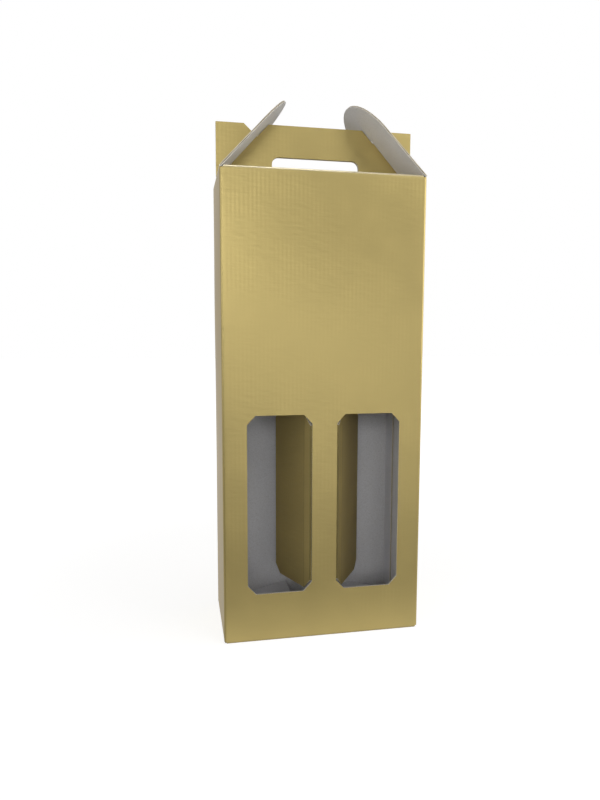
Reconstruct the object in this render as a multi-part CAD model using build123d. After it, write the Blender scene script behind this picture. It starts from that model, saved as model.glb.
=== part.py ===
from build123d import *
import math
import os

# Two-bottle carrier carton, folded from one blank of micro-corrugated board.
# Millimetres and degrees. Z is up, the window side faces -Y, and the origin is
# the middle of the foot print, on the floor.

# The board
board_thickness = 1.5
fold_radius = 1.25          # middle of the board, at every crease
moving_gap = 0.3            # left free between a swinging flap and its frame

# The tube
body_width = 170.0
body_depth = 85.0
body_height = 389.0         # floor to the top of the roof

# The handle, two layers standing up from the middle of the roof
handle_height = 44.5        # above the roof
handle_layer_gap = 0.3
hand_hole_width = 76.0
hand_hole_top = 18.4        # above the roof
hand_hole_bottom = 2.2      # above the roof
hand_hole_corner = 6.0

# The two side flaps that lean in over the handle's ears
side_flap_lean = 47.0       # above level, as they stand
side_flap_length = 84.6     # crease to tip
side_flap_tip_radius = 38.2
side_flap_edge_inset = 0.3
notch_reach = 48.5          # crease to the floor of the handle's notch, along the flap
slot_start = 2.4            # crease to the near end of the flap's slot
slot_clearance = 0.4
roof_end_gap = 3.0          # side wall to the end of the roof

# The two windows, whose cut-outs are folded in as the divider
window_width = 54.5
window_height = 151.0
window_sill = 41.3          # floor to the lower edge
window_corner_across = 7.0
window_corner_up = 7.5
centre_bar_width = 21.0
divider_hinge_relief = 1.2  # extra cut beside the ends of a divider's crease
left_divider_angle = 66.0   # in from the front, as it stands
right_divider_angle = 56.5

# The glued seam, inside the right wall
glue_flap_width = 18.0
glue_flap_setback = 7.0
glue_flap_bevel = 4.0

# The bottom
floor_flap_length = 66.0
floor_flap_rise = 12.6      # the inner pair is not pressed flat
floor_flap_corner = 3.0
floor_flap_side_gap = 0.6
base_end_gap = 0.6
base_seam_offset = 12.0     # the outer pair meets on a stepped line
base_seam_slant = 8.0
base_seam_gap = 0.4

# Worked out from the values above
half_width = body_width / 2
half_depth = body_depth / 2
half_board = board_thickness / 2
handle_half = board_thickness + handle_layer_gap / 2
wall_middle_x = half_width - half_board
wall_middle_y = half_depth - half_board
crease_x = half_width - half_board
crease_z = body_height - half_board
side_wall_top = body_height - board_thickness - moving_gap
side_wall_foot = board_thickness + moving_gap + half_board / math.cos(math.radians(floor_flap_rise))
window_inner_x = centre_bar_width / 2
window_outer_x = window_inner_x + window_width
window_middle_z = window_sill + window_height / 2
divider_crease_x = window_inner_x + moving_gap + half_board
divider_crease_y = -half_depth + half_board


def reach_point(along, away):
    """Place of a point in the handle's plane, from the right flap's crease."""
    lean = math.radians(side_flap_lean)
    return (
        crease_x - along * math.cos(lean) + away * math.sin(lean),
        crease_z + along * math.sin(lean) + away * math.cos(lean),
    )


def ear_corner_reach():
    """How far the ear's top corner lies from the side flap's crease."""
    lean = math.radians(side_flap_lean)
    top = body_height + handle_height - crease_z
    away = (top - notch_reach * math.sin(lean)) / math.cos(lean)
    return math.hypot(notch_reach, away)


slot_end = ear_corner_reach() + slot_clearance


def folded_strip(points, plane, reach):
    """Board folded along a line of points and drawn out both ways by reach."""
    path = FilletPolyline(*points, radius=fold_radius)
    strip = plane * trace(path, line_width=board_thickness)
    return extrude(strip, amount=reach, both=True)


def prism_up(points, low, high):
    """Upright prism over a plan outline, from one height to another."""
    plan = Plane.XY.offset(low) * make_face(Polyline(*points, close=True))
    return extrude(plan, amount=high - low)


def slab_through(points, half_thickness):
    """Prism with its outline in the XZ plane, the same thickness both ways."""
    plan = Plane.XZ * make_face(Polyline(*points, close=True))
    return extrude(plan, amount=half_thickness, both=True)


def base_flap_outline():
    """Plan of the outer bottom flap on the window side."""
    end_x = half_width - base_end_gap
    back = half_depth - board_thickness
    step = base_seam_slant / 2
    half_seam = base_seam_gap / 2
    return [
        (-half_width, -half_depth),
        (-half_width, -back),
        (-end_x, -back),
        (-end_x, base_seam_offset - half_seam),
        (-step - half_seam, base_seam_offset - half_seam),
        (step - half_seam, -base_seam_offset - half_seam),
        (end_x, -base_seam_offset - half_seam),
        (end_x, -back),
        (half_width, -back),
        (half_width, -half_depth),
    ]


def long_sheet():
    """Outer bottom flap, wall, half roof and handle layer, window side."""
    layer_y = -handle_layer_gap / 2 - half_board
    points = [
        (base_seam_offset, half_board),
        (-wall_middle_y, half_board),
        (-wall_middle_y, crease_z),
        (layer_y, crease_z),
        (layer_y, body_height + handle_height),
    ]
    sheet = folded_strip(points, Plane.YZ, half_width)
    waste = Box(
        body_width, body_depth, board_thickness,
        align=(Align.CENTER, Align.CENTER, Align.MIN),
    )
    waste -= prism_up(base_flap_outline(), 0, board_thickness)
    return sheet - waste


def side_sheet(side):
    """Inner bottom flap and wall on one side; side is -1 or 1."""
    rise = math.radians(floor_flap_rise)
    points = [
        (
            side * (wall_middle_x - floor_flap_length * math.cos(rise)),
            side_wall_foot + floor_flap_length * math.sin(rise),
        ),
        (side * wall_middle_x, side_wall_foot),
        (side * wall_middle_x, side_wall_top),
    ]
    sheet = folded_strip(points, Plane.XZ, half_depth)
    flap_half = half_depth - board_thickness - floor_flap_side_gap
    inner_end = wall_middle_x - floor_flap_length
    zone_height = side_wall_foot + floor_flap_length
    plan = Plane.XY * Rectangle(2 * (half_width - board_thickness - inner_end), 2 * flap_half)
    plan = Pos(side * (half_width - board_thickness), 0, 0) * fillet(plan.vertices(), floor_flap_corner)
    keep = extrude(plan, amount=zone_height)
    zone = Pos(side * (half_width - board_thickness - body_width / 2), 0, 0) * Box(
        body_width, body_depth, zone_height,
        align=(Align.CENTER, Align.CENTER, Align.MIN),
    )
    return sheet - (zone - keep)


def glue_flap():
    """Seam flap from the back wall, glued inside the right wall."""
    root = half_depth - half_board
    edge = half_depth - board_thickness - glue_flap_width
    low = glue_flap_setback
    high = side_wall_top - glue_flap_setback
    outline = [
        (root, low),
        (edge, low + glue_flap_bevel),
        (edge, high - glue_flap_bevel),
        (root, high),
    ]
    plan = Plane.YZ.offset(half_width - 2 * board_thickness) * make_face(Polyline(*outline, close=True))
    return extrude(plan, amount=board_thickness)


def window_outline(side, inset, hinge_inset):
    """Octagon of one window in the XZ plane, drawn in by the insets."""
    near = window_inner_x + inset
    far = window_outer_x - inset
    low = window_sill + inset
    high = window_sill + window_height - inset
    across = window_corner_across - inset * (2 - math.sqrt(2))
    up = window_corner_up - inset * (2 - math.sqrt(2))
    extra = hinge_inset
    points = [
        (near + across + extra, low),
        (far - across, low),
        (far, low + up),
        (far, high - up),
        (far - across, high),
        (near + across + extra, high),
        (near, high - up - extra),
        (near, low + up + extra),
    ]
    return [(side * x, z) for x, z in points]


def window_cut(side):
    """Prism that opens one window through the front."""
    cut = slab_through(window_outline(side, 0, 0), board_thickness)
    return Pos(0, divider_crease_y, 0) * cut


def notch_cut(side):
    """Notch in the handle's top edge, where the side flap drops in."""
    slack = half_board + moving_gap
    far = side_flap_length
    points = [
        reach_point(notch_reach, -slack),
        reach_point(notch_reach, far),
        reach_point(notch_reach + far, far),
        reach_point(notch_reach + far, -slack),
    ]
    return slab_through([(side * x, z) for x, z in points], 2 * handle_half)


def corner_relief(side):
    """Room round the crease of a side flap, at the foot of the handle's ear."""
    solid_root = math.hypot(slot_start, half_board) + slot_clearance
    place = Pos(side * crease_x, 0, crease_z)
    return place * Rot(90, 0, 0) * Cylinder(solid_root, 4 * handle_half)


def roof_end_cut(side):
    """Room at the end of the roof for the side flap's crease."""
    depth = board_thickness + moving_gap
    corner = Pos(side * (half_width - roof_end_gap / 2), 0, body_height - depth / 2)
    return corner * Box(roof_end_gap, body_depth, depth)


def hand_hole_cut():
    """Hand hole through both layers of the handle."""
    height = hand_hole_top - hand_hole_bottom
    middle = body_height + (hand_hole_top + hand_hole_bottom) / 2
    plan = RectangleRounded(hand_hole_width, height, hand_hole_corner)
    plan = Plane.XZ * plan
    return Pos(0, 0, middle) * extrude(plan, amount=2 * handle_half, both=True)


def corner_shave(side, end):
    """What is left outside the rounded crease of one upright corner."""
    radius = fold_radius + half_board
    block = Pos(side * half_width, end * half_depth, 0) * Box(
        2 * radius, 2 * radius, body_height,
        align=(Align.CENTER, Align.CENTER, Align.MIN),
    )
    crease = Pos(side * (half_width - radius), end * (half_depth - radius), 0) * Cylinder(
        radius, body_height,
        align=(Align.CENTER, Align.CENTER, Align.MIN),
    )
    inner = Pos(side * (half_width - 2 * radius), end * (half_depth - 2 * radius), 0) * Box(
        2 * radius, 2 * radius, body_height,
        align=(Align.CENTER, Align.CENTER, Align.MIN),
    )
    return block - crease - inner


def carton():
    """Everything that stays put: tube, bottom, roof and handle in one sheet."""
    front = long_sheet()
    body = front + Rot(0, 0, 180) * front
    body += side_sheet(-1) + side_sheet(1) + glue_flap()
    for side in (-1, 1):
        for end in (-1, 1):
            body -= corner_shave(side, end)
        body -= window_cut(side)
        body -= roof_end_cut(side)
        body -= corner_relief(side)
        body -= notch_cut(side)
    body -= hand_hole_cut()
    return body


def side_flap(side):
    """Rounded flap hinged on a side wall, slotted to straddle the handle."""
    root_half = half_depth - side_flap_edge_inset
    centre = side_flap_length - side_flap_tip_radius
    edge = [
        Line((0, -root_half), (0, root_half)),
        Line((0, root_half), (centre, side_flap_tip_radius)),
        ThreePointArc(
            (centre, side_flap_tip_radius),
            (side_flap_length, 0),
            (centre, -side_flap_tip_radius),
        ),
        Line((centre, -side_flap_tip_radius), (0, -root_half)),
    ]
    plate = extrude(make_face(edge), amount=half_board, both=True)
    plate += Rot(90, 0, 0) * Cylinder(half_board, 2 * root_half)
    slot_half = handle_half + slot_clearance
    slot = Pos((slot_start + slot_end) / 2, 0, 0) * Box(
        slot_end - slot_start, 2 * slot_half, 2 * board_thickness
    )
    plate -= slot
    flap = Rot(0, -side_flap_lean, 0) * plate
    flap = Pos(-crease_x, 0, crease_z) * flap
    return flap if side < 0 else mirror(flap, about=Plane.YZ)


def divider_flap(side, angle):
    """Window cut-out, hinged on the middle bar and swung in."""
    plate = slab_through(
        window_outline(side, moving_gap, divider_hinge_relief), half_board
    )
    away = body_width
    root_block = Pos(side * (divider_crease_x - away / 2), 0, window_middle_z) * Box(
        away, 2 * board_thickness, 2 * window_height
    )
    plate -= root_block
    root_length = window_height - 2 * (
        moving_gap * math.sqrt(2) + window_corner_up + divider_hinge_relief
    )
    plate += Pos(side * divider_crease_x, 0, window_middle_z) * Cylinder(half_board, root_length)
    turned = Pos(-side * divider_crease_x, 0, 0) * plate
    turned = Rot(0, 0, side * angle) * turned
    return Pos(side * divider_crease_x, divider_crease_y, 0) * turned


os.makedirs("parts", exist_ok=True)
nodes = {
    "carton": carton(),
    "left_side_flap": side_flap(-1),
    "right_side_flap": side_flap(1),
    "left_divider_flap": divider_flap(-1, left_divider_angle),
    "right_divider_flap": divider_flap(1, right_divider_angle),
}
for name, shape in nodes.items():
    shape.label = name
    export_step(shape, "parts/" + name + ".step")
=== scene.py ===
"""Looks of a two-bottle carrier carton, folded from one blank of gold micro-corrugated board.

Lengths are in millimetres on the middle of the board, and become metres where a mesh is made.
"""

import logging
import math
from dataclasses import dataclass, field
from enum import Enum, IntEnum
from typing import Callable, Optional, Sequence, Union

import bmesh
import bpy
from bpy.types import Material, Node, NodeSocket, NodeTree, Object, World
from mathutils import Matrix, Vector


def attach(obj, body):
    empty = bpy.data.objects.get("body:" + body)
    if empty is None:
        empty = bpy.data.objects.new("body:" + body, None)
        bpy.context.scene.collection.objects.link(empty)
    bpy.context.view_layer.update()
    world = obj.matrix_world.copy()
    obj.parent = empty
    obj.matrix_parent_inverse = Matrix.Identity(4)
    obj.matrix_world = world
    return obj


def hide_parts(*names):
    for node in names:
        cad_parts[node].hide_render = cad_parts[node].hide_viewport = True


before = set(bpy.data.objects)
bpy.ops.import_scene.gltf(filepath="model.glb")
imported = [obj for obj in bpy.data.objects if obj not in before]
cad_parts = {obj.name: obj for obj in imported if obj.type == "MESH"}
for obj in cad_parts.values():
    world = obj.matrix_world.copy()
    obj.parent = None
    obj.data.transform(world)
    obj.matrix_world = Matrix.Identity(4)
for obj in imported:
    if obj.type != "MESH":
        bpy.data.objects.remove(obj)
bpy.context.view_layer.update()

MM = 0.001
TOLERANCE = 0.02 * MM
BOARD_MAP = "board"
CREASE_MARK = "crease"

Point = tuple[float, float, float]
Pair = tuple[float, float]
Place = Union[None, float, Pair]
Source = Union[Node, NodeSocket]

UP: Point = (0.0, 0.0, 1.0)
ALONG: Point = (1.0, 0.0, 0.0)
FRONT: Point = (0.0, -1.0, 0.0)
# Most values of a noise texture lie between these.
NOISE_SPAN: Pair = (0.3, 0.7)

log = logging.getLogger("carton")


def evenly(first: float, pitch: float, count: int) -> list[float]:
    """Lists places at an even pitch."""
    return [first + pitch * step for step in range(count)]


class Skin(IntEnum):
    """Material slot of each skin of the board."""

    GOLD = 0
    LINER = 1
    CUT = 2


class Side(Enum):
    """Left or right, seen from the front."""

    LEFT = -1
    RIGHT = 1

    @property
    def label(self) -> str:
        """Lower-case name, as the bodies and nodes use it."""
        return self.name.lower()


# How far each divider flap is folded in, in degrees.
DIVIDER_SWINGS = {Side.LEFT: 66.0, Side.RIGHT: 56.5}


@dataclass(frozen=True)
class Board:
    """The micro-corrugated board that every panel is cut from."""

    thickness: float = 1.5
    fold_radius: float = 1.25
    fold_steps: int = 6
    root_radius: float = 0.72
    root_steps: int = 5
    flute_pitch: float = 3.4

    @property
    def half(self) -> float:
        """Half of the board's thickness."""
        return self.thickness / 2


BOARD = Board()


def metres(point: Sequence[float]) -> tuple[float, ...]:
    """Turns millimetres into metres."""
    return tuple(value * MM for value in point)


def linear(hex_colour: str) -> tuple[float, float, float, float]:
    """Turns an sRGB hex colour into linear light.

    Args:
        hex_colour: Six hex digits, such as "C8B070".

    Returns:
        Linear red, green, blue and an alpha of one.
    """
    channels = []
    for start in (0, 2, 4):
        value = int(hex_colour[start:start + 2], 16) / 255
        channels.append(value / 12.92 if value <= 0.04045 else ((value + 0.055) / 1.055) ** 2.4)
    return (channels[0], channels[1], channels[2], 1.0)


@dataclass(frozen=True)
class Ramp:
    """How one range of values becomes another, for a Map Range node."""

    low: float
    high: float
    start: float = 0.0
    end: float = 1.0

    def of(self, value: Source) -> dict:
        """Inputs of the node that maps a value this way."""
        return {"Value": value, "From Min": self.low, "From Max": self.high,
                "To Min": self.start, "To Max": self.end}


def add_node(
    tree: NodeTree,
    kind: str,
    inputs: Optional[dict] = None,
    **settings: object,
) -> Node:
    """Adds one node with its settings and what feeds it.

    Args:
        tree: The node tree.
        kind: Blender's name of the node, without "ShaderNode".
        inputs: By the input's name or number, a value, a socket, or a node for its first output.
        settings: Properties of the node.

    Returns:
        The new node.
    """
    node = tree.nodes.new(f"ShaderNode{kind}")
    for name, value in settings.items():
        setattr(node, name, value)
    for name, value in (inputs or {}).items():
        if isinstance(value, Node):
            value = next(output for output in value.outputs if output.enabled)
        if isinstance(value, NodeSocket):
            tree.links.new(value, node.inputs[name])
        else:
            node.inputs[name].default_value = value
    return node


def empty_tree(owner: Union[Material, World]) -> NodeTree:
    """Gives a material or the world a node tree with nothing in it.

    Args:
        owner: The material or the world.

    Returns:
        Its node tree.
    """
    owner.use_nodes = True
    owner.node_tree.nodes.clear()
    return owner.node_tree


def free_selection() -> None:
    """Leaves edit mode with nothing selected, so that an operator acts on a new piece alone."""
    if bpy.context.object and bpy.context.object.mode != "OBJECT":
        bpy.ops.object.mode_set(mode="OBJECT")
    bpy.ops.object.select_all(action="DESELECT")


def hold(piece: Object) -> None:
    """Makes one piece the only selected and active one.

    Args:
        piece: The piece.
    """
    free_selection()
    piece.select_set(True)
    bpy.context.view_layer.objects.active = piece


def open_up(piece: Object) -> None:
    """Opens a piece in edit mode to pick edges, with nothing selected.

    Args:
        piece: The piece.
    """
    hold(piece)
    bpy.ops.object.mode_set(mode="EDIT")
    bpy.ops.mesh.select_mode(type="EDGE")
    bpy.ops.mesh.select_all(action="DESELECT")


def pick_edges(piece: Object, wanted: Callable[[bmesh.types.BMEdge], bool]) -> int:
    """Adds edges of an open piece to what is selected.

    Args:
        piece: The piece, in edit mode.
        wanted: Tells whether an edge is wanted.

    Returns:
        How many edges it found.
    """
    mesh = bmesh.from_edit_mesh(piece.data)
    found = [edge for edge in mesh.edges if wanted(edge)]
    for edge in found:
        edge.select_set(True)
    bmesh.update_edit_mesh(piece.data)
    return len(found)


def modify(piece: Object, name: str, kind: str, **settings: object) -> None:
    """Puts a modifier on a piece and applies it.

    Args:
        piece: The piece.
        name: Name of the modifier.
        kind: Blender's name of its kind.
        settings: Its settings.
    """
    hold(piece)
    modifier = piece.modifiers.new(name, kind)
    for setting, value in settings.items():
        setattr(modifier, setting, value)
    bpy.ops.object.modifier_apply(modifier=name)


def give_slots(piece: Object, materials: Sequence[Material]) -> None:
    """Gives a new piece one slot for each material."""
    for material in materials:
        piece.data.materials.append(material)


def stand(piece: Object, turn: Point, place: Point) -> None:
    """Turns and moves a finished piece to its place, which goes into its mesh.

    Args:
        piece: The piece, built round the origin.
        turn: Its turn about x, y and z, in radians.
        place: Where its origin goes, in millimetres.
    """
    hold(piece)
    piece.rotation_euler = turn
    piece.location = metres(place)
    bpy.ops.object.transform_apply(location=True, rotation=True, scale=True)


def lies_at(point: Vector, wanted: Sequence[Place]) -> bool:
    """Tells whether a point is at the wanted places.

    Args:
        point: A point in metres.
        wanted: For x, y and z, a place, a range, or None for anywhere, in millimetres.

    Returns:
        True where all three agree.
    """
    for value, place in zip(point, wanted):
        if place is None:
            continue
        low, high = place if isinstance(place, tuple) else (place, place)
        if not low * MM - TOLERANCE <= value <= high * MM + TOLERANCE:
            return False
    return True


@dataclass
class Sheet:
    """A sheet without thickness that is folded in edit mode, then made board."""

    piece: Object

    @classmethod
    def started(cls, name: str) -> "Sheet":
        """Takes over the primitive just added, and opens it in edit mode.

        Args:
            name: Name of the piece.

        Returns:
            The sheet, all selected.
        """
        bpy.ops.object.transform_apply(location=True, rotation=True, scale=True)
        sheet = cls(bpy.context.active_object)
        sheet.piece.name = name
        sheet.piece.data.name = name
        open_up(sheet.piece)
        bpy.ops.mesh.select_all(action="SELECT")
        return sheet

    @classmethod
    def panel(cls, name: str, centre: Point, span: Point) -> "Sheet":
        """Starts from one flat panel that faces the front.

        Args:
            name: Name of the piece.
            centre: Middle of the panel.
            span: Its size along x, y and z, with 1 for the axis across it.

        Returns:
            The sheet, in edit mode.
        """
        free_selection()
        bpy.ops.mesh.primitive_plane_add(
            size=MM, location=metres(centre), rotation=(math.pi / 2, 0.0, 0.0)
        )
        return cls.started(name).resize(span, centre)

    def pick(self, x: Place = None, y: Place = None, z: Place = None) -> "Sheet":
        """Selects the edges that pick_more finds, and no others."""
        bpy.ops.mesh.select_all(action="DESELECT")
        return self.pick_more(x, y, z)

    def pick_more(self, x: Place = None, y: Place = None, z: Place = None) -> "Sheet":
        """Adds the edges that have both ends at the wanted places to what is selected.

        Args:
            x: Place or range from left to right.
            y: Place or range from front to back.
            z: Place or range up.

        Returns:
            The sheet, for the next step.
        """
        wanted = (x, y, z)
        if not pick_edges(self.piece, lambda edge: all(lies_at(v.co, wanted) for v in edge.verts)):
            raise ValueError(f"{self.piece.name}: no edge at x={x} y={y} z={z}")
        return self

    def fold(self, centre: Point, axis: Point, degrees: float) -> "Sheet":
        """Turns the picked edges round a crease.

        Args:
            centre: A point on the axis that the board bends about.
            axis: Direction of that axis.
            degrees: Angle of the fold.

        Returns:
            The sheet, with the far edge of the fold selected.
        """
        bpy.ops.mesh.spin(
            steps=BOARD.fold_steps,
            angle=-math.radians(degrees),  # the operator turns clockwise round its axis
            center=metres(centre),
            axis=axis,
        )
        return self

    def run(self, x: float = 0.0, y: float = 0.0, z: float = 0.0) -> "Sheet":
        """Draws the picked edges out into a flat panel."""
        bpy.ops.mesh.extrude_region_move(TRANSFORM_OT_translate={"value": metres((x, y, z))})
        return self

    def shift(self, x: float = 0.0, y: float = 0.0, z: float = 0.0) -> "Sheet":
        """Moves what is selected."""
        bpy.ops.transform.translate(value=metres((x, y, z)))
        return self

    def resize(self, factors: Point, centre: Point) -> "Sheet":
        """Scales what is selected about a point."""
        bpy.ops.transform.resize(value=factors, center_override=metres(centre))
        return self

    def cut_lines(self, axis: int, places: Sequence[float]) -> None:
        """Adds cuts across the whole sheet, so that it can bow.

        Args:
            axis: 0, 1 or 2, for cuts across x, y or z.
            places: Where the cuts go.
        """
        for place in places:
            spot = [0.0, 0.0, 0.0]
            normal = [0.0, 0.0, 0.0]
            spot[axis] = place
            normal[axis] = 1.0
            bpy.ops.mesh.select_all(action="SELECT")
            bpy.ops.mesh.bisect(plane_co=metres(spot), plane_no=normal)

    def settle(self, facing: Point, spot: Point) -> None:
        """Merges doubles and turns the gold side outwards.

        Args:
            facing: Direction in which the gold side looks at the spot.
            spot: A point on one of the panels.
        """
        bpy.ops.mesh.select_all(action="SELECT")
        bpy.ops.mesh.remove_doubles(threshold=TOLERANCE / 4)
        bpy.ops.mesh.normals_make_consistent(inside=False)
        mesh = bmesh.from_edit_mesh(self.piece.data)
        here = Vector(metres(spot))
        panel = min(mesh.faces, key=lambda face: (face.calc_center_median() - here).length)
        if panel.normal.dot(Vector(facing)) < 0:
            bpy.ops.mesh.flip_normals()
        free_selection()

    def bow(self, height: float, share: Callable[[Vector], float]) -> None:
        """Lets panels bulge along their normals.

        Args:
            height: How far the middle bulges.
            share: For a point in millimetres, how much of that it moves.
        """
        name = "bow"
        group = self.piece.vertex_groups.new(name=name)
        for vert in self.piece.data.vertices:
            weight = share(vert.co / MM)
            if weight > 0:
                group.add([vert.index], min(weight, 1.0), "REPLACE")
        modify(self.piece, name, "DISPLACE", strength=height * MM, mid_level=0.0, vertex_group=name)
        self.piece.vertex_groups.clear()

    def thicken(self) -> None:
        """Gives the sheet the board's thickness, with its three skins."""
        modify(
            self.piece, "board", "SOLIDIFY", thickness=BOARD.thickness * MM, offset=0.0,
            use_even_offset=True, use_quality_normals=True,
            material_offset=Skin.LINER, material_offset_rim=Skin.CUT,
        )

    def round_root(self, end: float) -> None:
        """Rounds the root of a swinging flap, where the gold paper runs on over the crease.

        Args:
            end: Where the root's edge lies along x.
        """
        open_up(self.piece)
        mesh = bmesh.from_edit_mesh(self.piece.data)
        for face in mesh.faces:
            if abs(face.calc_center_median().x - end * MM) < TOLERANCE:
                face.material_index = Skin.GOLD
        shortest = 2 * BOARD.thickness * MM
        pick_edges(
            self.piece, lambda edge: edge.calc_length() > shortest
            and all(lies_at(vert.co, (end, None, None)) for vert in edge.verts),
        )
        bpy.ops.mesh.bevel(
            offset=BOARD.root_radius * MM, segments=BOARD.root_steps, affect="EDGES",
            material=Skin.GOLD,
        )
        free_selection()


class DieCutter:
    """Shapes that are cut out of the finished board."""

    @staticmethod
    def block(name: str, centre: Point, size: Point, turn: Point = (0.0, 0.0, 0.0)) -> Object:
        """Makes a plain cutting block.

        Args:
            name: Name while it exists.
            centre: Its middle.
            size: Its sides.
            turn: Its turn about x, y and z, in degrees.

        Returns:
            The block.
        """
        free_selection()
        bpy.ops.mesh.primitive_cube_add(
            size=MM, location=metres(centre), rotation=[math.radians(angle) for angle in turn]
        )
        cutter = bpy.context.active_object
        cutter.name = name
        cutter.scale = size
        bpy.ops.object.transform_apply(location=True, rotation=True, scale=True)
        return cutter

    @staticmethod
    def round_corners(cutter: Object, radius: float, steps: int) -> None:
        """Rounds or chamfers the four edges that run from front to back.

        Args:
            cutter: The block.
            radius: Radius, or length of the chamfer.
            steps: 1 for a chamfer, more for a round corner.
        """
        open_up(cutter)
        pick_edges(cutter, lambda edge: (edge.verts[0].co - edge.verts[1].co).xz.length < TOLERANCE)
        bpy.ops.mesh.bevel(offset=radius * MM, segments=steps, affect="EDGES")
        hold(cutter)

    @staticmethod
    def cut(piece: Object, cutter: Object) -> None:
        """Takes the cutter out of the piece and deletes the cutter.

        Args:
            piece: Board piece with its three skins.
            cutter: Closed shape to take out.
        """
        give_slots(cutter, piece.data.materials)
        for face in cutter.data.polygons:
            face.material_index = Skin.CUT
        modify(piece, "cut", "BOOLEAN", object=cutter, operation="DIFFERENCE", solver="EXACT")
        bpy.data.objects.remove(cutter)


@dataclass(frozen=True)
class Pattern:
    """What every finish of the board draws from: its place, its depth in the board, the flutes."""

    tree: NodeTree
    place: NodeSocket
    depth: NodeSocket
    flutes: Node

    @classmethod
    def on(cls, tree: NodeTree) -> "Pattern":
        """Draws the flutes, one wave per pitch, across the flat blank.

        Args:
            tree: Node tree of the finish.

        Returns:
            The pattern.
        """
        place = add_node(tree, "TexCoord").outputs["Object"]
        flat = add_node(tree, "UVMap", uv_map=BOARD_MAP)
        blank = add_node(tree, "SeparateXYZ", {0: flat}).outputs
        turns = math.tau / (BOARD.flute_pitch * MM)
        angle = add_node(tree, "Math", {0: blank["X"], 1: turns}, operation="MULTIPLY")
        return cls(tree, place, blank["Y"], add_node(tree, "Math", {0: angle}, operation="SINE"))

    def spots(self, size: float) -> dict:
        """Inputs of a texture whose spots are this many millimetres apart."""
        return {"Vector": self.place, "Scale": 1 / (size * MM)}


@dataclass(frozen=True)
class Finish:
    """One skin of the board."""

    name: str
    roughness: float

    def material(self) -> Material:
        """Builds the node material.

        Returns:
            The material.
        """
        material = bpy.data.materials.new(self.name)
        tree = empty_tree(material)
        shader = add_node(tree, "BsdfPrincipled", self.surface(Pattern.on(tree)))
        add_node(tree, "OutputMaterial", {"Surface": shader})
        return material

    def surface(self, pattern: Pattern) -> dict:
        """Inputs of the shader, which each finish draws from the pattern."""
        raise NotImplementedError


@dataclass(frozen=True)
class GoldFace(Finish):
    """Gold metallised paper, satin varnished: a soft, wide sheen that dims away from the lamp."""

    name: str = "gold_metallised_paper"
    roughness: float = 0.38
    unevenness: float = 0.02
    colour: str = "C0AD70"
    # Pale colour of the creases: partly worn paper, partly a painted highlight.
    wear_and_highlight_tone: str = "F2E8C8"
    grazed: str = "A4A2B2"
    metallic: float = 0.85
    varnish: float = 0.12
    varnish_roughness: float = 0.25
    patch: float = 40.0
    grain: float = 0.6
    ripple_across: float = 10.0
    ripple_up: float = 3.0
    wear_and_highlight_grain: Ramp = Ramp(0.35, 0.6, 0.6, 1.0)
    mottled: Ramp = Ramp(*NOISE_SPAN, 0.97, 1.03)
    # Darkening of the marked creases: painted shade.
    crease_shade: Ramp = Ramp(-1.0, 0.0, 0.45, 1.0)
    flute_height: Ramp = Ramp(0.38, 0.62, 0.0, 0.015)
    ripple_height: float = 0.12
    grain_height: float = 0.01

    def surface(self, pattern: Pattern) -> dict:
        """Inputs of the shader, drawn from the pattern.

        Args:
            pattern: Place and flutes of the board.

        Returns:
            Values and nodes, by the input's name.
        """
        tree = pattern.tree
        # Uneven glue makes the sheen a little patchy.
        patches = add_node(tree, "TexNoise", pattern.spots(self.patch) | {"Detail": 2.0})
        grain = add_node(tree, "TexNoise", pattern.spots(self.grain) | {"Detail": 3.0})
        # Where the paper is stretched over a fold, its grain wears pale, and the same pale line is
        # a painted highlight along the roof fold and the side flaps' creases.
        crease = add_node(tree, "Attribute", attribute_name=CREASE_MARK).outputs["Fac"]
        wear_and_highlight_grain = add_node(tree, "MapRange", self.wear_and_highlight_grain.of(grain))
        wear_and_highlight = add_node(tree, "Math", {0: wear_and_highlight_grain, 1: crease}, operation="MULTIPLY", use_clamp=True)
        tones = {"Factor": wear_and_highlight, "A": linear(self.colour), "B": linear(self.wear_and_highlight_tone)}
        tone = add_node(tree, "Mix", tones, data_type="RGBA")
        mottled = add_node(tree, "MapRange", self.mottled.of(patches))
        # Painted shade: a crease marked below zero gets a thin dark line, where the fold would hold
        # shade.
        painted_crease_shade = add_node(tree, "MapRange", self.crease_shade.of(crease))
        mottled_and_shaded = add_node(tree, "Math", {0: mottled, 1: painted_crease_shade}, operation="MULTIPLY")
        low, high = self.roughness - self.unevenness, self.roughness + self.unevenness
        # The paper ripples between the flutes, wider across than up.
        across, up = 1 / (self.ripple_across * MM), 1 / (self.ripple_up * MM)
        place = {0: pattern.place, 1: (across, across, up)}
        stretched = add_node(tree, "VectorMath", place, operation="MULTIPLY")
        ripples = add_node(tree, "TexNoise", {"Vector": stretched, "Scale": 1.0, "Detail": 1.0})
        # The flutes under it show as faint upright lines, here more and there less.
        uneven = add_node(tree, "MapRange", self.flute_height.of(patches))
        height = add_node(tree, "Math", {0: pattern.flutes, 1: uneven}, operation="MULTIPLY")
        for relief, most in ((ripples, self.ripple_height), (grain, self.grain_height)):
            higher = {0: relief, 1: most, 2: height}
            height = add_node(tree, "Math", higher, operation="MULTIPLY_ADD")
        return {
            "Base Color": add_node(tree, "VectorMath", {0: tone, 1: mottled_and_shaded}, operation="MULTIPLY"),
            "Metallic": self.metallic,
            "Specular Tint": linear(self.grazed),
            "Roughness": add_node(tree, "MapRange", Ramp(*NOISE_SPAN, low, high).of(patches)),
            "Coat Weight": self.varnish,
            "Coat Roughness": self.varnish_roughness,
            "Normal": add_node(tree, "Bump", {"Height": height, "Distance": MM, "Strength": 1.0}),
        }


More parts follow.
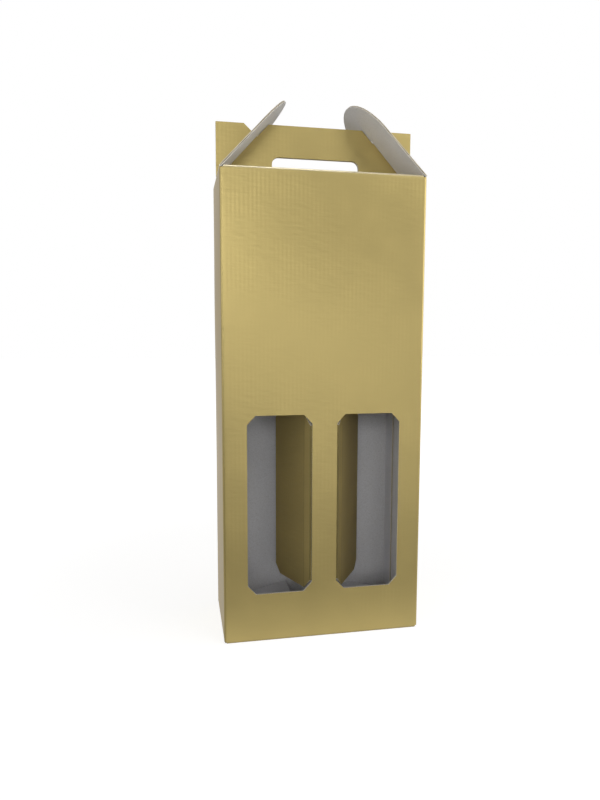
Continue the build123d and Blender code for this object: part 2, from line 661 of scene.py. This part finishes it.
@dataclass(frozen=True)
class GreyLiner(Finish):
    """Unbleached recycled liner, machine finished: a dull grey with small fibres and flecks."""

    name: str = "recycled_grey_liner"
    roughness: float = 0.88
    colour: str = "E6E6E9"
    fleck: str = "B2AFAB"
    specular: float = 0.3
    fibre: float = 0.9
    fleck_pitch: float = 3.0
    spotted: Ramp = Ramp(0.06, 0.12, 0.6, 0.0)
    clouded: Ramp = Ramp(*NOISE_SPAN, 0.0, 0.3)
    flute_height: float = 0.02
    fibre_height: float = 0.03

    def surface(self, pattern: Pattern) -> dict:
        """Inputs of the shader, drawn from the pattern.

        Args:
            pattern: Place and flutes of the board.

        Returns:
            Values and nodes, by the input's name.
        """
        tree = pattern.tree
        # Fibres of the recycled pulp, and darker flecks every few millimetres.
        fibre = add_node(tree, "TexNoise", pattern.spots(self.fibre) | {"Detail": 4.0})
        flecks = add_node(tree, "TexVoronoi", pattern.spots(self.fleck_pitch))
        spot = add_node(tree, "MapRange", self.spotted.of(flecks))
        cloud = add_node(tree, "MapRange", self.clouded.of(fibre))
        amount = add_node(tree, "Math", {0: spot, 1: cloud}, operation="ADD")
        tones = {"Factor": amount, "A": linear(self.colour), "B": linear(self.fleck)}
        flat = {0: pattern.flutes, 1: self.flute_height}
        relief = add_node(tree, "Math", flat, operation="MULTIPLY")
        higher = {0: fibre, 1: self.fibre_height, 2: relief}
        height = add_node(tree, "Math", higher, operation="MULTIPLY_ADD")
        return {
            "Base Color": add_node(tree, "Mix", tones, data_type="RGBA"),
            "Roughness": self.roughness,
            "Specular IOR Level": self.specular,
            "Normal": add_node(tree, "Bump", {"Height": height, "Distance": MM, "Strength": 1.0}),
        }


@dataclass(frozen=True)
class CutEdge(Finish):
    """Die-cut edge of the corrugated board: pale liners with the wave of the fluting between."""

    name: str = "die_cut_corrugated_edge"
    roughness: float = 0.9
    liner: str = "EDE8DB"
    fluting: str = "CDC2AC"
    hollow_shade: str = "8A8070"
    specular: float = 0.2
    wave_height: float = 0.5
    paper: Ramp = Ramp(0.14 * MM, 0.3 * MM, 1.0, 0.0)
    skin: Ramp = Ramp(0.4 * MM, 0.52 * MM)
    fibre: float = 0.5
    shade: Ramp = Ramp(*NOISE_SPAN, 0.88, 1.06)
    fibre_height: float = 0.08

    def surface(self, pattern: Pattern) -> dict:
        """Inputs of the shader, drawn from the pattern.

        Args:
            pattern: Place, depth and flutes of the board.

        Returns:
            Values and nodes, by the input's name.
        """
        tree = pattern.tree
        # The fluting is drawn as a line that waves between the two liners.
        size = {0: pattern.flutes, 1: self.wave_height * MM}
        wave = add_node(tree, "Math", size, operation="MULTIPLY")
        apart = add_node(tree, "Math", {0: pattern.depth, 1: wave}, operation="SUBTRACT")
        near = add_node(tree, "Math", {0: apart}, operation="ABSOLUTE")
        paper = add_node(tree, "MapRange", self.paper.of(near))
        # The open flutes between the wave and the liners are coloured dark: painted shade of the
        # hollows.
        middle = {"Factor": paper, "A": linear(self.hollow_shade), "B": linear(self.fluting)}
        core = add_node(tree, "Mix", middle, data_type="RGBA")
        across = add_node(tree, "Math", {0: pattern.depth}, operation="ABSOLUTE")
        skin = add_node(tree, "MapRange", self.skin.of(across))
        layers = {"Factor": skin, "A": core, "B": linear(self.liner)}
        layered = add_node(tree, "Mix", layers, data_type="RGBA")
        fibre = add_node(tree, "TexNoise", pattern.spots(self.fibre) | {"Detail": 3.0})
        shade = add_node(tree, "MapRange", self.shade.of(fibre))
        colour = add_node(tree, "VectorMath", {0: layered, 1: shade}, operation="MULTIPLY")
        relief = {"Height": fibre, "Distance": self.fibre_height * MM, "Strength": 1.0}
        return {
            "Base Color": colour,
            "Roughness": self.roughness,
            "Specular IOR Level": self.specular,
            "Normal": add_node(tree, "Bump", relief),
        }


@dataclass
class BoardFinish:
    """The three skins of the board, shared by all pieces, and how a piece is dressed in them."""

    smooth_angle: float = 32.0
    panel_weight: int = 100
    skins: list[Material] = field(init=False)

    def __post_init__(self) -> None:
        """Makes the three materials once."""
        self.skins = [skin.material() for skin in (GoldFace(), GreyLiner(), CutEdge())]

    def lay_out(
        self,
        piece: Object,
        across: Callable[[Vector], Pair],
        creased: Callable[[Vector], float],
    ) -> None:
        """Writes where each spot lies on the flat blank, and which spots are creased.

        Args:
            piece: Board piece, with its thickness and cut-outs.
            across: For a point in millimetres, its place across and along the flutes.
            creased: For a point in millimetres, 1 for a pale crease, partly wear and partly a
                painted highlight,
            -1 for a crease darkened with painted shade, and 0 away from creases.
        """
        mesh = piece.data
        gold_side = set()
        for face in mesh.polygons:
            if face.material_index == Skin.GOLD:
                gold_side.update(face.vertices)
        layer = mesh.uv_layers.get(BOARD_MAP) or mesh.uv_layers.new(name=BOARD_MAP)
        for face in mesh.polygons:
            for corner in face.loop_indices:
                index = mesh.loops[corner].vertex_index
                u, v = across(mesh.vertices[index].co / MM)
                if face.material_index == Skin.CUT:
                    v = BOARD.half if index in gold_side else -BOARD.half
                layer.data[corner].uv = (u * MM, v * MM)
        marks = mesh.attributes.new(CREASE_MARK, "FLOAT", "POINT")
        for vert in mesh.vertices:
            marks.data[vert.index].value = creased(vert.co / MM)

    def smooth(self, piece: Object) -> None:
        """Rounds the shading of the folds and keeps the panels flat and the edges sharp.

        Args:
            piece: Board piece, finished but for its place.
        """
        hold(piece)
        bpy.ops.object.shade_smooth_by_angle(angle=math.radians(self.smooth_angle))
        modify(piece, "flat_panels", "WEIGHTED_NORMAL", keep_sharp=True, weight=self.panel_weight)


@dataclass
class CartonBody:
    """The part of the blank that stays put: tube, bottom, roof and the two-layer handle."""

    finish: BoardFinish
    width: float = 170.0
    depth: float = 85.0
    height: float = 389.0
    handle_top: float = 433.5
    layer_gap: float = 0.3
    roof_half: float = 82.0
    side_wall_top: float = 387.4
    hole_width: float = 76.0
    hole_low: float = 391.2
    hole_high: float = 407.4
    hole_corner: float = 6.0
    hole_steps: int = 8
    flap_lean: float = 47.0
    notch_reach: float = 48.5
    notch_slack: float = 1.05
    notch_waste: float = 80.0
    notch_depth: float = 8.0
    window_near: float = 10.65
    window_far: float = 65.0
    window_low: float = 41.3
    window_high: float = 192.3
    window_across: float = 7.0
    window_up: float = 7.5
    cut_depth: float = 6.0
    wall_slack: float = 0.2
    glue_slack: float = 0.05
    glue_width: float = 18.0
    glue_root: float = 1.0
    glue_root_taper: float = 0.968
    glue_taper: float = 0.978
    floor_flap: float = 66.0
    floor_rise: float = 12.6
    side_foot: float = 3.57
    base_half: float = 84.4
    base_root: float = 0.8
    seam_offset: float = 12.0
    seam_slant: float = 4.0
    seam_gap: float = 0.4
    pick_slack: float = 1.0
    crease_loop: float = 2.0
    foot_loop: float = 4.0
    left_bow: float = 1.9
    right_bow_share: float = 0.5
    front_bow_share: float = 0.2
    bow_rise: float = 2.2
    bow_fullness: float = 0.8
    window_margin: float = 10.0
    map_slack: float = 2.0
    floor_reach: float = 20.0
    # Fold marks: the roof's is pale wear and painted highlight; the left upright folds' and the
    # foot's are painted shade.
    roof_wear_and_highlight_mark: float = 1.0
    left_shade_mark: float = -0.7
    foot_shade_mark: float = -0.5
    mark_share: float = 0.6

    @property
    def wall_x(self) -> float:
        """Distance of the side walls from the middle."""
        return self.width / 2 - BOARD.half

    @property
    def wall_y(self) -> float:
        """Distance of the front and back walls from the middle."""
        return self.depth / 2 - BOARD.half

    @property
    def flat_x(self) -> float:
        """Half width of the flat part of the front."""
        return self.wall_x - BOARD.fold_radius

    @property
    def flat_y(self) -> float:
        """Half depth of the flat part of a side."""
        return self.wall_y - BOARD.fold_radius

    @property
    def low_z(self) -> float:
        """Lower end of the flat part of the front."""
        return BOARD.half + BOARD.fold_radius

    @property
    def high_z(self) -> float:
        """Upper end of the flat part of the front."""
        return self.height - BOARD.half - BOARD.fold_radius

    def tube(self) -> Sheet:
        """Folds the four walls and the glued seam flap round from the front.

        Returns:
            The sheet, in edit mode.
        """
        flat_x, flat_y, front = self.flat_x, self.flat_y, -self.wall_y
        middle = (0.0, 0.0, (self.low_z + self.high_z) / 2)
        span = (2 * flat_x, 1.0, self.high_z - self.low_z)
        sheet = Sheet.panel("carton_sheet", (0.0, front, middle[2]), span)
        # Right wall: it ends in a cut edge at the back corner, over the seam flap.
        sheet.pick(x=flat_x, y=front).fold((flat_x, -flat_y, 0.0), UP, 90)
        sheet.run(y=flat_y + self.wall_y + BOARD.half - self.wall_slack)
        # Left wall, back wall and seam flap, inside the right wall.
        sheet.pick(x=-flat_x, y=front).fold((-flat_x, -flat_y, 0.0), UP, -90)
        sheet.run(y=2 * flat_y).fold((-flat_x, flat_y, 0.0), UP, -90)
        seam_x = self.flat_span(1)[1]
        sheet.run(x=flat_x + seam_x).fold((seam_x, flat_y, 0.0), UP, -90)
        sheet.run(y=-self.glue_root).resize((1.0, 1.0, self.glue_root_taper), middle)
        sheet.run(y=BOARD.fold_radius + BOARD.half - self.glue_width)
        return sheet.resize((1.0, 1.0, self.glue_taper), middle)

    def flat_span(self, end: int) -> Pair:
        """Both ends of the flat front (-1), or of the back (1), which the seam flap narrows."""
        tuck = BOARD.thickness + self.glue_slack if end > 0 else 0.0
        return -self.flat_x, self.flat_x - tuck

    def roof_and_handle(self, sheet: Sheet, end: int) -> None:
        """Folds half of the roof and one layer of the handle from the front or the back wall.

        Args:
            sheet: The tube.
            end: -1 for the front, 1 for the back.
        """
        radius = BOARD.fold_radius
        layer_y = end * (self.layer_gap / 2 + BOARD.half)
        span = (-self.roof_half, min(self.roof_half, self.flat_span(end)[1]))
        sheet.pick(x=span, y=end * self.wall_y, z=self.high_z)
        sheet.fold((0.0, end * self.flat_y, self.high_z), ALONG, end * 90)
        sheet.run(y=-end * (self.flat_y - radius) + layer_y)
        low = self.height - BOARD.half + radius
        sheet.fold((0.0, layer_y + end * radius, low), ALONG, -end * 90)
        sheet.run(z=self.handle_top - low)
        for side, ear in zip((-1, 1), span):
            sheet.pick(x=ear, y=layer_y, z=(low, self.handle_top))
            sheet.run(x=side * self.width / 2 - ear)

    def base_flap(self, sheet: Sheet, end: int) -> None:
        """Folds one outer bottom flap, up to its stepped seam.

        Args:
            sheet: The tube.
            end: -1 for the front, 1 for the back.
        """
        left, right = self.flat_span(end)
        half, slack = BOARD.half, self.pick_slack
        sheet.pick(x=(left, right), y=end * self.wall_y, z=self.low_z)
        sheet.fold((0.0, end * self.flat_y, self.low_z), ALONG, -end * 90)
        widen = 2 * self.base_half / (right - left)
        about = (self.base_half + left * widen) / (widen - 1)
        sheet.run(y=-end * self.base_root).resize((widen, 1.0, 1.0), (about, 0.0, 0.0))
        seam = end * (self.seam_offset + self.seam_gap / 2)
        sheet.run(y=seam - end * (self.flat_y - self.base_root))
        # One half reaches past the middle, and the step between the halves runs at a slant.
        inner = end * (self.seam_slant - slack)
        sheet.pick(x=tuple(sorted((inner, end * self.base_half))), y=seam, z=half)
        sheet.run(y=-end * 2 * self.seam_offset)
        past = self.seam_slant + slack
        sheet.pick(x=(-past, past), y=seam, z=half)
        step = tuple(sorted((inner, inner + end * 2 * slack)))
        reach = self.seam_offset + slack
        sheet.pick_more(x=step, y=(-reach, reach), z=half)
        bpy.ops.mesh.edge_face_add()

    def floor_flap_side(self, sheet: Sheet, side: int) -> None:
        """Folds one inner bottom flap, which isn't flattened.

        Args:
            sheet: The tube.
            side: -1 for the left, 1 for the right.
        """
        wall_x = side * self.wall_x
        sheet.pick(x=wall_x, y=(-self.flat_y, self.depth / 2), z=self.low_z)
        sheet.shift(z=self.side_foot - self.low_z)
        sheet.pick(x=wall_x, y=(-self.flat_y, self.flat_y), z=self.side_foot)
        foot = (side * self.flat_x, 0.0, self.side_foot)
        sheet.fold(foot, (0.0, 1.0, 0.0), side * (90 - self.floor_rise))
        rise = math.radians(self.floor_rise)
        sheet.run(x=-side * self.floor_flap * math.cos(rise), z=self.floor_flap * math.sin(rise))

    def side_top(self, sheet: Sheet, side: int) -> None:
        """Brings the top of one side wall up to the crease of its flap."""
        sheet.pick(x=side * self.wall_x, y=(-self.flat_y, self.depth / 2), z=self.high_z)
        sheet.shift(z=self.side_wall_top - self.high_z)

    def bulge(self, point: Vector) -> float:
        """How much a spot of the walls bulges, as a share of the left wall's most.

        Args:
            point: A point in millimetres.

        Returns:
            0 to 1.
        """
        if not self.low_z < point.z < self.high_z:
            return 0.0
        fold = 0.5 * BOARD.fold_radius
        if abs(point.x) > self.flat_x + fold and abs(point.y) < self.flat_y:
            up = (point.z - self.low_z) / (self.high_z - self.low_z)
            most = 1.0 if point.x < 0 else self.right_bow_share
            lateral = math.cos(math.pi / 2 * point.y / self.flat_y)
            return most * lateral * math.sin(math.pi * up ** self.bow_rise) ** self.bow_fullness
        start = self.window_high + self.window_margin
        if abs(point.y) > self.flat_y + fold and abs(point.x) < self.flat_x and point.z > start:
            up = (point.z - start) / (self.high_z - start)
            lateral = math.cos(math.pi / 2 * point.x / self.flat_x)
            return self.front_bow_share * lateral * math.sin(math.pi * up)
        return 0.0

    def cut_outs(self, piece: Object) -> None:
        """Cuts the windows, the handle's notches and the hand hole.

        Args:
            piece: The folded board.
        """
        x, z = (self.window_near + self.window_far) / 2, (self.window_low + self.window_high) / 2
        wide, high = self.window_far - self.window_near, self.window_high - self.window_low
        # The windows' corner cuts are a little higher than they are wide.
        stretch = self.window_up / self.window_across
        for side in (-1, 1):
            middle = (side * x, -self.wall_y, z)
            window = DieCutter.block("window", middle, (wide, self.cut_depth, high / stretch))
            DieCutter.round_corners(window, self.window_across, 1)
            bpy.ops.transform.resize(value=(1.0, 1.0, stretch), center_override=metres(middle))
            bpy.ops.object.transform_apply(location=True, rotation=True, scale=True)
            DieCutter.cut(piece, window)
            DieCutter.cut(piece, self.notch(side))
        hole = DieCutter.block(
            "hand_hole", (0.0, 0.0, (self.hole_low + self.hole_high) / 2),
            (self.hole_width, 2 * self.cut_depth, self.hole_high - self.hole_low),
        )
        DieCutter.round_corners(hole, self.hole_corner, self.hole_steps)
        DieCutter.cut(piece, hole)

    def notch(self, side: int) -> Object:
        """Makes the cutter of one notch, square to the side flap that drops into it.

        Args:
            side: -1 for the left, 1 for the right.

        Returns:
            The cutter.
        """
        lean = math.radians(self.flap_lean)
        waste = self.notch_waste
        along = self.notch_reach + waste / 2
        away = waste / 2 - self.notch_slack
        x = self.wall_x - along * math.cos(lean) + away * math.sin(lean)
        z = self.height - BOARD.half + along * math.sin(lean) + away * math.cos(lean)
        turn = (0.0, side * self.flap_lean, 0.0)
        return DieCutter.block("notch", (side * x, 0.0, z), (waste, self.notch_depth, waste), turn)

    def add_loops(self, sheet: Sheet) -> None:
        """Adds loops that let the walls bow, and loops beside the creases that keep them flat.

        Args:
            sheet: The folded sheet.
        """
        beside = self.crease_loop
        # For each axis: where the first loop lies, the pitch, and how many there are.
        sheet.cut_lines(2, [*evenly(self.low_z + self.foot_loop, 18.0, 21), self.high_z - beside])
        for axis, flat, first, pitch, count in (
            (1, self.flat_y, -30.0, 10.0, 7),
            (0, self.flat_x, -72.0, 12.0, 13),
        ):
            sheet.cut_lines(axis, [beside - flat, *evenly(first, pitch, count), flat - beside])

    def build(self) -> Object:
        """Folds, bows, thickens and cuts the sheet.

        Returns:
            The finished piece.
        """
        sheet = self.tube()
        # The roof, the bottom's seam and the seam flap's side need edges of their own.
        sheet.cut_lines(0, [-self.roof_half, -self.seam_slant, self.seam_slant, self.roof_half])
        sheet.cut_lines(1, [self.flat_y])
        for end in (-1, 1):
            self.roof_and_handle(sheet, end)
            self.base_flap(sheet, end)
        for side in (-1, 1):
            self.side_top(sheet, side)
            self.floor_flap_side(sheet, side)
        self.add_loops(sheet)
        sheet.settle(FRONT, (0.0, -self.wall_y, self.height / 2))
        give_slots(sheet.piece, self.finish.skins)
        sheet.bow(self.left_bow, self.bulge)
        sheet.thicken()
        self.cut_outs(sheet.piece)
        self.finish.lay_out(sheet.piece, self.on_blank, self.on_crease)
        self.finish.smooth(sheet.piece)
        return sheet.piece

    def on_blank(self, point: Vector) -> Pair:
        """Finds a spot on the flat blank.

        Args:
            point: A point in millimetres.

        Returns:
            Its place across and along the flutes.
        """
        slack = self.map_slack
        beside = abs(point.x) > self.flat_x - slack and abs(point.y) < self.flat_y + slack / 2
        if beside and point.z < self.height - slack:
            return point.y, point.z
        if BOARD.thickness < point.z < self.floor_reach and abs(point.y) < self.flat_y:
            return point.y, point.x
        return point.x, point.z + point.y

    def on_crease(self, point: Vector) -> float:
        """How a spot of the body is marked at its folds: pale along the roof, partly wear and
        partly a painted highlight, and darkened with painted shade along the left upright folds and
        the foot.

        Args:
            point: A point in millimetres.

        Returns:
            -1 to 1, and 0 away from the folds.
        """
        back = abs(point.y) - self.flat_y
        folds = (
            (self.roof_wear_and_highlight_mark, back, point.z - self.high_z),
            (self.left_shade_mark, -point.x - self.flat_x, back),
            (self.foot_shade_mark, back, self.low_z - point.z),
        )
        full = self.mark_share * (BOARD.fold_radius + BOARD.half) * math.sqrt(0.5)
        for mark, one, other in folds:
            if one > 0 and other > 0:
                return mark * min(1.0, one / full, other / full)
        return 0.0


@dataclass
class SideFlap:
    """Rounded flap on a side wall, slotted to straddle the handle."""

    finish: BoardFinish
    side: Side
    length: float = 84.6
    tip_radius: float = 38.2
    tip_steps: int = 96
    root_half: float = 42.2
    lean: float = 47.0
    slot_start: float = 2.4
    slot_end: float = 50.98
    slot_half: float = 2.05
    slot_depth: float = 6.0
    crease_x: float = 84.25
    crease_z: float = 388.25
    wear_and_highlight_end: float = 1.0
    curl: float = 0.8
    root_loop: float = 2.5
    loop_pitch: float = 8.0
    tip_loops: Pair = (78.0, 82.0)

    def build(self) -> Object:
        """Cuts the flap flat, curls it a little and leans it in.

        Returns:
            The finished piece.
        """
        sheet = self.blank()
        piece = sheet.piece
        give_slots(piece, self.finish.skins)
        sheet.bow(self.curl, lambda point: max(0.0, point.x / self.length) ** 2)
        sheet.thicken()
        sheet.round_root(-BOARD.half)
        middle = ((self.slot_start + self.slot_end) / 2, 0.0, 0.0)
        size = (self.slot_end - self.slot_start, 2 * self.slot_half, self.slot_depth)
        DieCutter.cut(piece, DieCutter.block("slot", middle, size))
        # The root crease is marked pale: partly worn paper, partly a painted highlight.
        self.finish.lay_out(piece, lambda at: (at.y, at.x), lambda at: float(at.x < self.wear_and_highlight_end))
        self.finish.smooth(piece)
        sideways = 0.0 if self.side is Side.LEFT else math.pi
        place = (self.side.value * self.crease_x, 0.0, self.crease_z)
        stand(piece, (0.0, -math.radians(self.lean), sideways), place)
        return piece

    def blank(self) -> Sheet:
        """Draws the flap's outline flat, with its crease on the y axis.

        Returns:
            The flat blank, gold side up.
        """
        tip = self.length - self.tip_radius
        centre = metres((tip, 0.0, 0.0))
        free_selection()
        bpy.ops.mesh.primitive_circle_add(
            vertices=self.tip_steps, radius=self.tip_radius * MM, fill_type="NGON", location=centre
        )
        sheet = Sheet.started(f"{self.side.label}_side_flap_board")
        bpy.ops.mesh.bisect(plane_co=centre, plane_no=ALONG, clear_inner=True, use_fill=False)
        widen = (1.0, self.root_half / self.tip_radius, 1.0)
        sheet.pick(x=tip).run(x=-tip).resize(widen, (0.0, 0.0, 0.0))
        sheet.run(x=-BOARD.half)
        loops = evenly(self.loop_pitch, self.loop_pitch, 9)
        sheet.cut_lines(0, [self.root_loop, *loops, *self.tip_loops])
        sheet.settle(UP, (tip, 0.0, 0.0))
        return sheet


@dataclass
class DividerFlap:
    """Cut-out of a window, hinged on the middle bar and folded in."""

    finish: BoardFinish
    side: Side
    swing: float
    reach: float = 53.15
    low: float = 41.6
    high: float = 192.0
    near_chamfer: float = 8.2
    root_low: float = 50.4
    far_across: float = 7.1
    far_up: float = 7.6
    second_crease: float = 8.5
    second_width: float = 0.6
    root_end: float = 1.2
    second_angle: float = 3.5
    crease_x: float = 11.55
    crease_y: float = -41.75
    root_shade_mark: float = -1.0
    second_shade_mark: float = -0.6
    crease_slack: float = 0.1

    def build(self) -> Object:
        """Cuts the flap flat, creases it and folds it in.

        Returns:
            The finished piece.
        """
        sheet = self.blank()
        piece = sheet.piece
        give_slots(piece, self.finish.skins)
        sheet.thicken()
        sheet.round_root(-self.side.value * BOARD.half)
        self.finish.lay_out(piece, lambda point: (point.x, point.z), self.on_crease)
        self.finish.smooth(piece)
        # The first strip stands out a little, so that the far edge still ends where it should.
        beyond = (self.reach - self.second_crease) / self.reach
        lag = math.degrees(math.asin(math.sin(math.radians(self.second_angle)) * beyond))
        turn = math.radians(self.side.value * (self.swing - lag))
        stand(piece, (0.0, 0.0, turn), (self.side.value * self.crease_x, self.crease_y, 0.0))
        return piece

    def blank(self) -> Sheet:
        """Draws the flap with its root on the z axis, bent a little at its second crease.

        Returns:
            The blank, gold side to the front.
        """
        out = self.side.value
        middle = (0.0, 0.0, (self.low + self.high) / 2)
        height = self.high - self.low
        centre = (out * self.near_chamfer / 2, 0.0, middle[2])
        name = f"{self.side.label}_divider_board"
        sheet = Sheet.panel(name, centre, (self.near_chamfer, 1.0, height))
        root_share = 2 * (middle[2] - self.root_low) / height
        sheet.pick(x=0.0).resize((1.0, 1.0, root_share), middle)
        sheet.run(x=-out * BOARD.half)
        sheet.pick(x=out * self.near_chamfer).run(x=out * (self.second_crease - self.near_chamfer))
        turn = math.radians(self.second_angle)
        for length in (self.reach - self.second_crease - self.far_across, self.far_across):
            sheet.run(x=out * length * math.cos(turn), y=length * math.sin(turn))
        sheet.resize((1.0, 1.0, 1 - 2 * self.far_up / height), middle)
        sheet.cut_lines(0, [out * self.root_end, out * (self.second_crease + self.second_width)])
        sheet.settle(FRONT, centre)
        return sheet

    def on_crease(self, point: Vector) -> float:
        """How a spot is marked: darkened with painted shade at the root and at the second crease.

        Args:
            point: A point in millimetres, before the flap is turned.

        Returns:
            -1 to 0.
        """
        away = abs(point.x)
        if away < self.root_end - self.crease_slack:
            return self.root_shade_mark
        on_second = abs(away - self.second_crease) < 2 * self.crease_slack
        return self.second_shade_mark if on_second else 0.0


@dataclass(frozen=True)
class SoftBox:
    """A lamp behind white cloth, its place, aim and size in metres, its power in watts.

    A spread below 180 degrees stands for a grid on the cloth, which keeps the light together.
    """

    name: str
    place: Point
    size: Pair
    power: float
    aim: Point = (0.0, 0.0, 0.25)
    spread: float = 180.0

    def hang(self) -> None:
        """Puts the lamp in the scene, out of the camera's sight."""
        data = bpy.data.lights.new(self.name, "AREA")
        data.shape = "RECTANGLE"
        data.size, data.size_y = self.size
        data.energy = self.power
        data.spread = math.radians(self.spread)
        lamp = bpy.data.objects.new(self.name, data)
        bpy.context.scene.collection.objects.link(lamp)
        lamp.location = self.place
        sight = Vector(self.aim) - Vector(self.place)
        lamp.rotation_euler = sight.to_track_quat("-Z", "Y").to_euler()
        lamp.visible_camera = False


@dataclass
class Studio:
    """White paper floor and background, soft boxes, and the camera at the photograph's angle."""

    camera_place: Point = (-118.12, -542.58, 259.04)
    yaw: float = 10.9697
    pitch: float = -6.0892
    roll: float = 0.1478
    focal_pixels: float = 623.96
    frame_height: float = 800.0
    sensor_height: float = 24.0
    clip: Pair = (0.01, 50.0)
    boxes: tuple[SoftBox, ...] = (
        SoftBox("key", (-0.47, -2.2, 0.73), (0.9, 0.5), 8.1),
        SoftBox("low_front", (0.48, -2.25, 0.24), (0.9, 0.4), 2.5),
        SoftBox("high_front", (0.1, -1.7, 1.5), (0.9, 0.5), 1.8, (0.0, 0.0, 0.3)),
        SoftBox("right", (1.99, -1.15, 0.65), (2.2, 1.2), 16.5),
        SoftBox("right_side", (2.23, -0.31, 0.71), (2.4, 1.3), 11.0),
        SoftBox("left", (-1.99, -1.15, 0.65), (2.2, 1.2), 22.5),
        SoftBox("high_right", (0.5, -0.8, 0.9), (0.5, 0.5), 1.3, (0.0, 0.0, 0.4)),
        SoftBox("floor_right", (0.35, -0.85, 1.0), (0.5, 0.5), 3.0, (0.35, -0.8, 0.0), 70.0),
        SoftBox("top", (0.0, -0.15, 1.4), (0.6, 0.4), 2.8, (0.0, 0.0, 0.39)),
    )
    paper: str = "A8A8A8"
    paper_roughness: float = 0.9
    paper_specular: float = 0.1
    white: str = "FFFFFF"
    floor_size: float = 12.0
    behind_on_floor: Ramp = Ramp(-0.15, 0.0)
    behind_in_room: Ramp = Ramp(-0.2, 0.3)
    glow: Ramp = Ramp(0.2, 0.8, 0.8, 1.0)
    fill: Ramp = Ramp(0.0, 1.0, 0.0, 0.2)

    def camera(self) -> None:
        """Places the camera."""
        yaw, pitch, roll = (math.radians(angle) for angle in (self.yaw, self.pitch, self.roll))
        data = bpy.data.cameras.new("camera")
        data.sensor_fit = "VERTICAL"
        data.sensor_height = self.sensor_height
        data.lens = self.focal_pixels / self.frame_height * data.sensor_height
        data.clip_start, data.clip_end = self.clip
        camera = bpy.data.objects.new("camera", data)
        bpy.context.scene.collection.objects.link(camera)
        aim = Matrix.Rotation(-yaw, 4, "Z") @ Matrix.Rotation(math.pi / 2 + pitch, 4, "X")
        place = Matrix.Translation(metres(self.camera_place))
        camera.matrix_world = place @ aim @ Matrix.Rotation(roll, 4, "Z")
        bpy.context.scene.camera = camera

    @staticmethod
    def looked_at(tree: NodeTree, behind: Node) -> Node:
        """Tells the rays that see the white background: the camera's, and mirrored ones behind it.

        Args:
            tree: Node tree of the floor or of the world.
            behind: 1 behind the carton and 0 in front of it.

        Returns:
            1 for those rays, 0 for the light that falls on the carton.
        """
        ray = add_node(tree, "LightPath").outputs
        either = {0: ray["Is Glossy Ray"], 1: ray["Is Transmission Ray"]}
        mirrored = add_node(tree, "Math", either, operation="MAXIMUM")
        masked = add_node(tree, "Math", {0: mirrored, 1: behind}, operation="MULTIPLY")
        seen = {0: ray["Is Camera Ray"], 1: masked}
        return add_node(tree, "Math", seen, operation="MAXIMUM")

    def floor(self) -> None:
        """Lays matt paper that fades to white away from the carton and keeps its soft shadow."""
        free_selection()
        bpy.ops.mesh.primitive_plane_add(size=self.floor_size, location=(0.0, 0.0, 0.0))
        floor = bpy.context.active_object
        floor.name = "floor"
        material = bpy.data.materials.new("matt_white_paper")
        tree = empty_tree(material)
        place = add_node(tree, "TexCoord").outputs["Object"]
        split = add_node(tree, "SeparateXYZ", {0: place})
        behind = add_node(tree, "MapRange", self.behind_on_floor.of(split.outputs["Y"]))
        distance = add_node(tree, "VectorMath", {0: place}, operation="LENGTH")
        glow = add_node(tree, "MapRange", self.glow.of(distance), interpolation_type="SMOOTHSTEP")
        lit = {0: self.looked_at(tree, behind), 1: glow}
        strength = add_node(tree, "Math", lit, operation="MULTIPLY")
        light = add_node(tree, "Emission", {"Color": linear(self.white), "Strength": strength})
        matt = add_node(tree, "BsdfPrincipled", {
            "Base Color": linear(self.paper),
            "Roughness": self.paper_roughness,
            "Specular IOR Level": self.paper_specular,
        })
        both = add_node(tree, "AddShader", {0: matt, 1: light})
        add_node(tree, "OutputMaterial", {"Surface": both})
        floor.data.materials.append(material)

    def world(self) -> None:
        """Surrounds the carton with a white background over a dim room."""
        world = bpy.data.worlds.new("room")
        bpy.context.scene.world = world
        tree = empty_tree(world)
        place = add_node(tree, "TexCoord").outputs["Generated"]
        split = add_node(tree, "SeparateXYZ", {0: place})
        behind = add_node(tree, "MapRange", self.behind_in_room.of(split.outputs["Y"]))
        fill = add_node(tree, "MapRange", self.fill.of(behind))
        seen = self.looked_at(tree, behind)
        strength = add_node(tree, "MapRange", {"Value": seen, "To Min": fill, "To Max": 1.0})
        room = add_node(tree, "Background", {"Color": linear(self.white), "Strength": strength})
        add_node(tree, "OutputWorld", {"Surface": room})

    def build(self) -> None:
        """Sets up the whole studio."""
        self.camera()
        for box in self.boxes:
            box.hang()
        self.floor()
        self.world()
        bpy.context.scene.view_settings.view_transform = "Standard"


def hand_over(piece: Object, body: str, node: str) -> None:
    """Lets a piece stand for its CAD node and move with its body.

    Args:
        piece: The finished piece.
        body: CAD body that it rides on.
        node: CAD node that it replaces.
    """
    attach(piece, body)
    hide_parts(node)
    log.info("%s rides on %s with %d faces", piece.name, body, len(piece.data.polygons))


def main() -> None:
    """Builds the studio and every piece of the carton."""
    logging.basicConfig(level=logging.INFO, format="%(name)s: %(message)s")
    Studio().build()
    finish = BoardFinish()
    hand_over(CartonBody(finish).build(), "carton", "carton")
    for side, swing in DIVIDER_SWINGS.items():
        flap_name = f"{side.label}_side_flap"
        hand_over(SideFlap(finish, side).build(), flap_name, flap_name)
        divider_name = f"{side.label}_divider_flap"
        hand_over(DividerFlap(finish, side, swing).build(), divider_name, divider_name)
    free_selection()


if __name__ == "__main__":
    main()
